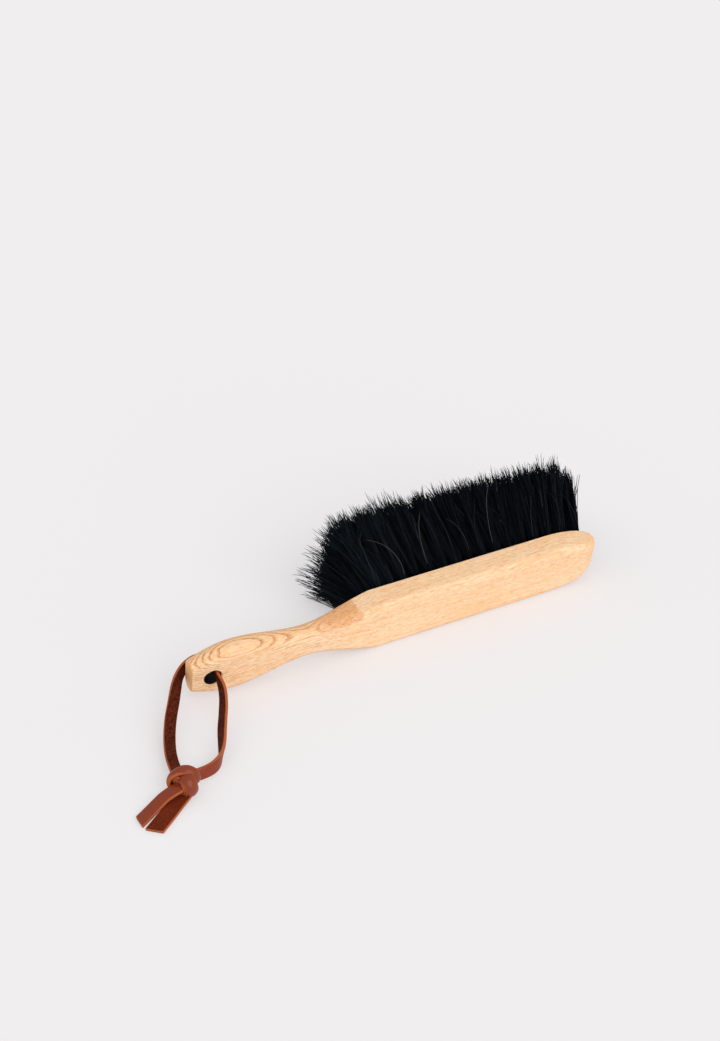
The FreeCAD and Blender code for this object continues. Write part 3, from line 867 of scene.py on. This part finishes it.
def band(line, facing, thong, width, smooth, crown=0.00025, slant=0.0):
    """Rows of a strap whose section is carried along a line with its width turned to facing. Its smooth
    side is to the left of the width, or to the right where smooth is -1, and its far end is cut aslant."""
    outline, rough, edge = strap_outline(thong, width, crown)
    travel = travelled(line)
    way = unit(np.gradient(line, axis=0))
    across = unit(facing - (facing * way).sum(axis=1, keepdims=True) * way)
    through = smooth * np.cross(way, across)
    rows = line[:, None] + outline[None, :, :1] * across[:, None] + outline[None, :, 1:] * through[:, None]
    late = np.clip((travel - travel[-1]) / width + 1, 0, 1)
    rows += slant * late[:, None, None] * (outline[:, :1] / (width / 2)) * way[:, None]
    start, end = (row.mean(axis=1, keepdims=True) + 0 * row for row in (rows[:1], rows[-1:]))
    rows = np.concatenate([start, rows, end])
    rows[..., 2] = np.maximum(rows[..., 2], TABLE_GAP)
    ends = np.zeros((len(rows), len(edge)))
    ends[[0, -1]] = 1
    values = {
        "rough_side": np.broadcast_to(rough, ends.shape),
        "cut_edge": np.maximum(np.broadcast_to(edge, ends.shape), ends),
    }
    return rows, values


def leather_piece(name, bands):
    """One piece of leather from the rows of one or more bands."""
    points, faces, values = [], [], {"rough_side": [], "cut_edge": []}
    for rows, marks in bands:
        faces.append(quads(*rows.shape[:2]) + sum(len(part) for part in points))
        points.append(rows.reshape(-1, 3))
        for label, numbers in marks.items():
            values[label].append(numbers.ravel())
    values = {label: np.concatenate(parts) for label, parts in values.items()}
    piece = put_mesh(name, np.concatenate(points), faces, values)
    close_up(piece)
    piece.data.set_sharp_from_angle(angle=STRAP_SHARP)
    return piece


def turned_along(line, route, facing):
    """The width directions given at a route's points, carried to the points of its smooth line."""
    stops = travelled(route)
    travel = travelled(line)
    parts = np.asarray(facing, dtype=float).T
    return np.stack([np.interp(travel / travel[-1], stops / stops[-1], part) for part in parts], axis=1)


def on_table(points):
    """Thong points in millimetres: along and away from the hole's middle, and height over the table."""
    places = np.array(points, dtype=float) * MM
    places[:, :2] += HOLE_MIDDLE[:2]
    return places


# The thong's route in millimetres, with the way that its width points. It is the solids' route, eased.
# In the hole it lies off the middle towards the head, and reaches equally far to both mouths.
IN_HOLE = 3.4
HOLE_REACH = 9.13
NEAR_ROUTE = [
    ((1.8, -20.3, 17.4), (0.5, 0, 1)),
    ((-3.4, -32.2, 13.2), (0.8, 0, 1)),
    ((-9.8, -43.9, 9.2), (0.9, 0.1, 1)),
    ((-15.2, -56.4, 6.4), (0.7, 0.2, 1)),
    ((-20.8, -67.6, 5.0), (0.4, 0.4, 1)),
    ((-31.4, -74.6, 4.8), (0.1, 0.5, 1)),
    ((-43.3, -75.2, 6.2), (0.1, 0.5, 1)),
]
FAR_ROUTE = [
    ((-1.8, 15.0, 21.8), (0, 0, 1)),
    ((-10.2, 14.4, 19.6), (-0.1, 0.1, 1)),
    ((-18.0, 8.2, 18.0), (-0.4, 0.2, 1)),
    ((-23.9, -0.6, 16.4), (-0.8, 0.4, 0.8)),
    ((-30.0, -11.4, 14.2), (-1, 0.5, 0.6)),
    ((-36.6, -22.0, 11.4), (-1, 0.4, 0.4)),
    ((-42.2, -33.0, 8.4), (-1, 0.3, 0.4)),
    ((-47.0, -45.2, 6.4), (-1, 0.2, 0.4)),
    ((-50.2, -57.7, 6.2), (-1, 0.1, 0.3)),
    ((-51.8, -70.6, 7.0), (-1, 0.1, 0.3)),
]
SMOOTH_TAIL = [
    ((-53.2, -82.9, 8.8), (0.3, -1, 0)),
    ((-64.4, -83.8, 6.8), (0.2, -1, 0)),
    ((-72.9, -86.4, 3.4), (0.3, -1, 0)),
    ((-79.7, -89.3, 1.6), (0.4, -1, 0)),
    ((-86.7, -93.3, 1.25), (0.4, -1, 0)),
]
ROUGH_TAIL = [
    ((-53.6, -84.6, 3.2), (0.8, -1, 0)),
    ((-62.2, -90.2, 2.0), (0.8, -1, 0)),
    ((-71.9, -97.8, 1.4), (0.7, -1, 0)),
    ((-81.2, -104.6, 1.25), (0.7, -1, 0)),
]

# The knot turns about the way that the tails leave. Each of its bands has a row of turns in degrees, one of
# radii and one of shifts along that way, both in millimetres.
KNOT_MIDDLE = (-52.2, -80.8, 8.6)
KNOT_HEADING = -145
KNOT_STATIONS = 60
KNOT_FOLD = (
    (-40, 0, 35, 60, 80, 100, 125, 150, 180, 215, 250),
    (4.2, 5.4, 6.6, 7.8, 8.5, 8.5, 8.2, 8.2, 8.4, 7.6, 6.0),
    (-6.4, -6.4, -6.0, -5.0, -3.6, -2.0, -0.2, 1.2, 2.0, 2.2, 2.0),
)
KNOT_BAND = (
    (-100, -65, -30, 10, 42, 68, 90, 110),
    (6.4, 7.2, 7.5, 7.3, 7.0, 5.6, 4.2, 3.0),
    (0.2, 0.4, 1.2, 2.0, 1.4, 0.0, -1.2, -2.0),
)
KNOT_UNDER = (
    (-100, -65, -30, 10, 42, 68, 95),
    (4.4, 5.1, 5.3, 5.0, 4.8, 4.0, 1.8),
    (2.6, 2.8, 3.4, 4.0, 3.4, 2.0, -0.8),
)
KNOT_CORE = (
    (0, 150, 300, 450, 600, 750, 900),
    (1.3, 1.9, 2.5, 3.2, 3.9, 4.7, 5.9),
    (-0.9, -0.9, -0.9, -0.9, -0.9, -0.9, -0.9),
)


def run_route(points, away):
    """Points and width directions of a run, from the hole's middle out of the near or the far mouth."""
    inside = HOLE_MIDDLE + IN_HOLE * MM * ALONG
    mouth = inside + away * HOLE_REACH * MM * DEPTH
    route = np.vstack([inside, mouth, on_table([place for place, _ in points])])
    facing = np.vstack([ACROSS, ACROSS, [way for _, way in points]])
    return route, facing


class BROOM_OT_stage(bpy.types.Operator):
    """Adds the camera, the soft light and the pale floor"""

    bl_idname = "broom.stage"
    bl_label = "Stage"

    def execute(self, context):
        scene = context.scene
        stage = scene.broom_stage
        scene.view_settings.view_transform = "Standard"
        camera = bpy.data.cameras.new("camera")
        camera.lens = stage.lens
        camera.shift_y = stage.shift
        holder = bpy.data.objects.new("camera", camera)
        heading, pitch = stage.heading, stage.pitch
        ahead = np.array([math.sin(heading), math.cos(heading), 0])
        forward = math.cos(pitch) * ahead - np.array([0, 0, math.sin(pitch)])
        holder.location = np.array(stage.aim) - stage.distance * forward
        holder.rotation_euler = (math.pi / 2 - pitch, 0, -heading)
        scene.collection.objects.link(holder)
        scene.camera = holder

        right = np.array([math.cos(heading), -math.sin(heading), 0])
        lamp = bpy.data.lights.new("key", "SUN")
        lamp.energy = stage.key
        lamp.angle = stage.key_angle
        key = bpy.data.objects.new("key", lamp)
        above = np.array([0, 0, stage.key_above])
        towards = unit(stage.key_right * right - stage.key_front * ahead + above)
        key.location = towards
        key.rotation_euler = (math.acos(towards[2]), 0, math.atan2(towards[1], towards[0]) + math.pi / 2)
        scene.collection.objects.link(key)

        world = bpy.data.worlds.new("sky")
        world.use_nodes = True
        background = world.node_tree.nodes["Background"]
        background.inputs["Color"].default_value = (1, 1, 1, 1)
        background.inputs["Strength"].default_value = stage.sky
        scene.world = world

        side = stage.floor_size / 2 * np.array([[-1, -1, 0], [1, -1, 0], [1, 1, 0], [-1, 1, 0]])
        floor = put_mesh("floor", side, [np.array([[0, 1, 2, 3]])])
        floor.data.materials.append(floor_finish(stage))
        return {"FINISHED"}


class BROOM_OT_thong(bpy.types.Operator):
    """Makes the thong's two runs, its knot and its two tails"""

    bl_idname = "broom.thong"
    bl_label = "Leather thong"

    def execute(self, context):
        thong = context.scene.broom_thong
        leather = leather_finish(thong)
        knot = self.knot(thong)
        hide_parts("thong_knot")
        tails = []
        for name, points, smooth, width, slant in (
            ("thong_tail_smooth", SMOOTH_TAIL, 1, thong.smooth_width, thong.smooth_slant),
            ("thong_tail_rough", ROUGH_TAIL, -1, thong.rough_width, thong.rough_slant),
        ):
            route = on_table([place for place, _ in points])
            line = cord_line(route)
            facing = turned_along(line, route, [way for _, way in points])
            rows = band(line, facing, thong, width, smooth, slant=slant)
            tail = leather_piece(f"{name}_leather", [rows])
            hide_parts(name)
            tails.append(tail)
        runs = []
        for name, points, away, smooth, pieces in (
            ("thong_near_run", NEAR_ROUTE, -1, -1, [knot, tails[0]]),
            ("thong_far_run", FAR_ROUTE, 1, 1, [tails[1]]),
        ):
            route, facing = run_route(points, away)
            line = cord_line(route)
            rows = band(line, turned_along(line, route, facing), thong, thong.width, smooth)
            run = leather_piece(f"{name}_leather", [rows])
            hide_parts(name)
            runs.append(run)
        for piece in [knot, *tails, *runs]:
            dress(piece, "thong", leather)
        return {"FINISHED"}

    def knot(self, thong):
        """The tied knot: a fold from the back over the top that comes round on the left as a small loop,
        a wide band up the right side that goes under it, a second band beneath that and a wound core."""
        heading = math.radians(KNOT_HEADING)
        axis = np.array([math.cos(heading), math.sin(heading), 0])
        side = np.array([-axis[1], axis[0], 0])
        up = np.array([0, 0, 1])
        middle = on_table([KNOT_MIDDLE])[0]
        bands = []
        for rows, width, crown, tilt, smooth in (
            (KNOT_FOLD, thong.fold_width, 0.0012, 0.22, 1),
            (KNOT_BAND, thong.knot_width, 0.0018, 0.42, 1),
            (KNOT_UNDER, thong.under_width, 0.0002, 0.42, 1),
            # The core turns its darker rough side out and so stands in for the shade in the knot's hollow.
            (KNOT_CORE, thong.fold_width, 0.0, 0.0, -1),
        ):
            steps = np.arange(len(rows[0]))
            share = np.linspace(0, steps[-1], KNOT_STATIONS)
            turn, radius, shift = (np.interp(share, steps, row)[:, None] for row in rows)
            turn = np.radians(turn)
            out = np.cos(turn) * side + np.sin(turn) * up
            line = middle + MM * (radius * out + shift * axis)
            bands.append(band(line, axis - tilt * out, thong, width, smooth, crown))
        return leather_piece("thong_knot_leather", bands)


class BROOM_OT_wood(bpy.types.Operator):
    """Makes the oak block and handle in one piece, with its thong hole"""

    bl_idname = "broom.wood"
    bl_label = "Oak block"

    def execute(self, context):
        wood = context.scene.broom_wood
        rows = wood_surface(wood)
        piece = put_mesh("oak_block", rows, [quads(*rows.shape[:2])])
        close_up(piece)
        tool_rows = hole_surface(wood)
        tool = put_mesh("hole_tool", tool_rows, [quads(*tool_rows.shape[:2])])
        close_up(tool)
        cut_away(piece, tool)
        piece.data.shade_smooth()
        piece.data.set_sharp_from_angle(angle=WOOD_SHARP)
        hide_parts("handle_block")
        dress(piece, "broom", oak_finish(wood))
        return {"FINISHED"}


class BROOM_OT_bristles(bpy.types.Operator):
    """Makes the five rows of horsehair tufts and finishes their wire anchors"""

    bl_idname = "broom.bristles"
    bl_label = "Bristle rows"

    def execute(self, context):
        hair = context.scene.broom_bristles
        horsehair = hair_finish("horsehair", hair.dark, hair.sheen)
        wire = wire_finish()
        for row in range(ROWS):
            ends, tone = row_hairs(row, hair)
            points, faces, reach = strands(*ends, hair.hair_radius, HAIR_RINGS)
            values = {"tone": np.repeat(tone, points.shape[1]), "reach": reach}
            piece = put_mesh(f"horsehair_row_{row + 1}", points, faces, values)
            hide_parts(f"bristle_row_{row + 1}")
            dress(piece, "broom", horsehair)
            anchors = frame["nodes"][f"anchor_row_{row + 1}"].data.materials
            anchors.clear()
            anchors.append(wire)
        return {"FINISHED"}


class BROOM_OT_strays(bpy.types.Operator):
    """Adds the loose light hairs among the bristles"""

    bl_idname = "broom.strays"
    bl_label = "Stray hairs"

    def execute(self, context):
        hair = context.scene.broom_bristles
        radius = STRAY_THINNESS * hair.hair_radius
        points, faces, reach = strands(*stray_hairs(hair), radius, STRAY_RINGS)
        tone = np.random.default_rng(hair.seed).uniform(0, 1, len(points))
        values = {"tone": np.repeat(tone, points.shape[1]), "reach": reach}
        piece = put_mesh("stray_hairs", points, faces, values)
        dress(piece, "broom", hair_finish("light_hair", hair.sheen, hair.light))
        return {"FINISHED"}


class BROOM_PT_panel(bpy.types.Panel):
    """Lists the broom's parts in the sidebar"""

    bl_idname = "BROOM_PT_panel"
    bl_label = "Hand Broom"
    bl_space_type = "VIEW_3D"
    bl_region_type = "UI"
    bl_category = "Broom"

    def draw(self, context):
        for operator in OPERATORS:
            self.layout.operator(operator.bl_idname)
        for group, holder in GROUPS.items():
            self.layout.label(text=group.__doc__)
            for name in group.__annotations__:
                self.layout.prop(getattr(context.scene, holder), name)


GROUPS = {
    BroomWood: "broom_wood",
    BroomBristles: "broom_bristles",
    BroomThong: "broom_thong",
    BroomStage: "broom_stage",
}
OPERATORS = (BROOM_OT_stage, BROOM_OT_thong, BROOM_OT_wood, BROOM_OT_bristles, BROOM_OT_strays)
CLASSES = (*GROUPS, *OPERATORS, BROOM_PT_panel)


def register():
    """Registers the classes and gives the scene its settings."""
    for kind in CLASSES:
        bpy.utils.register_class(kind)
    for group, name in GROUPS.items():
        setattr(bpy.types.Scene, name, PointerProperty(type=group))


def unregister():
    """Takes the settings and the classes away again."""
    for name in GROUPS.values():
        delattr(bpy.types.Scene, name)
    for kind in reversed(CLASSES):
        bpy.utils.unregister_class(kind)


def main():
    """Builds the broom and its stage."""
    register()
    bpy.ops.broom.stage()
    bpy.ops.broom.thong()
    bpy.ops.broom.wood()
    bpy.ops.broom.bristles()
    bpy.ops.broom.strays()


if __name__ == "__main__":
    main()
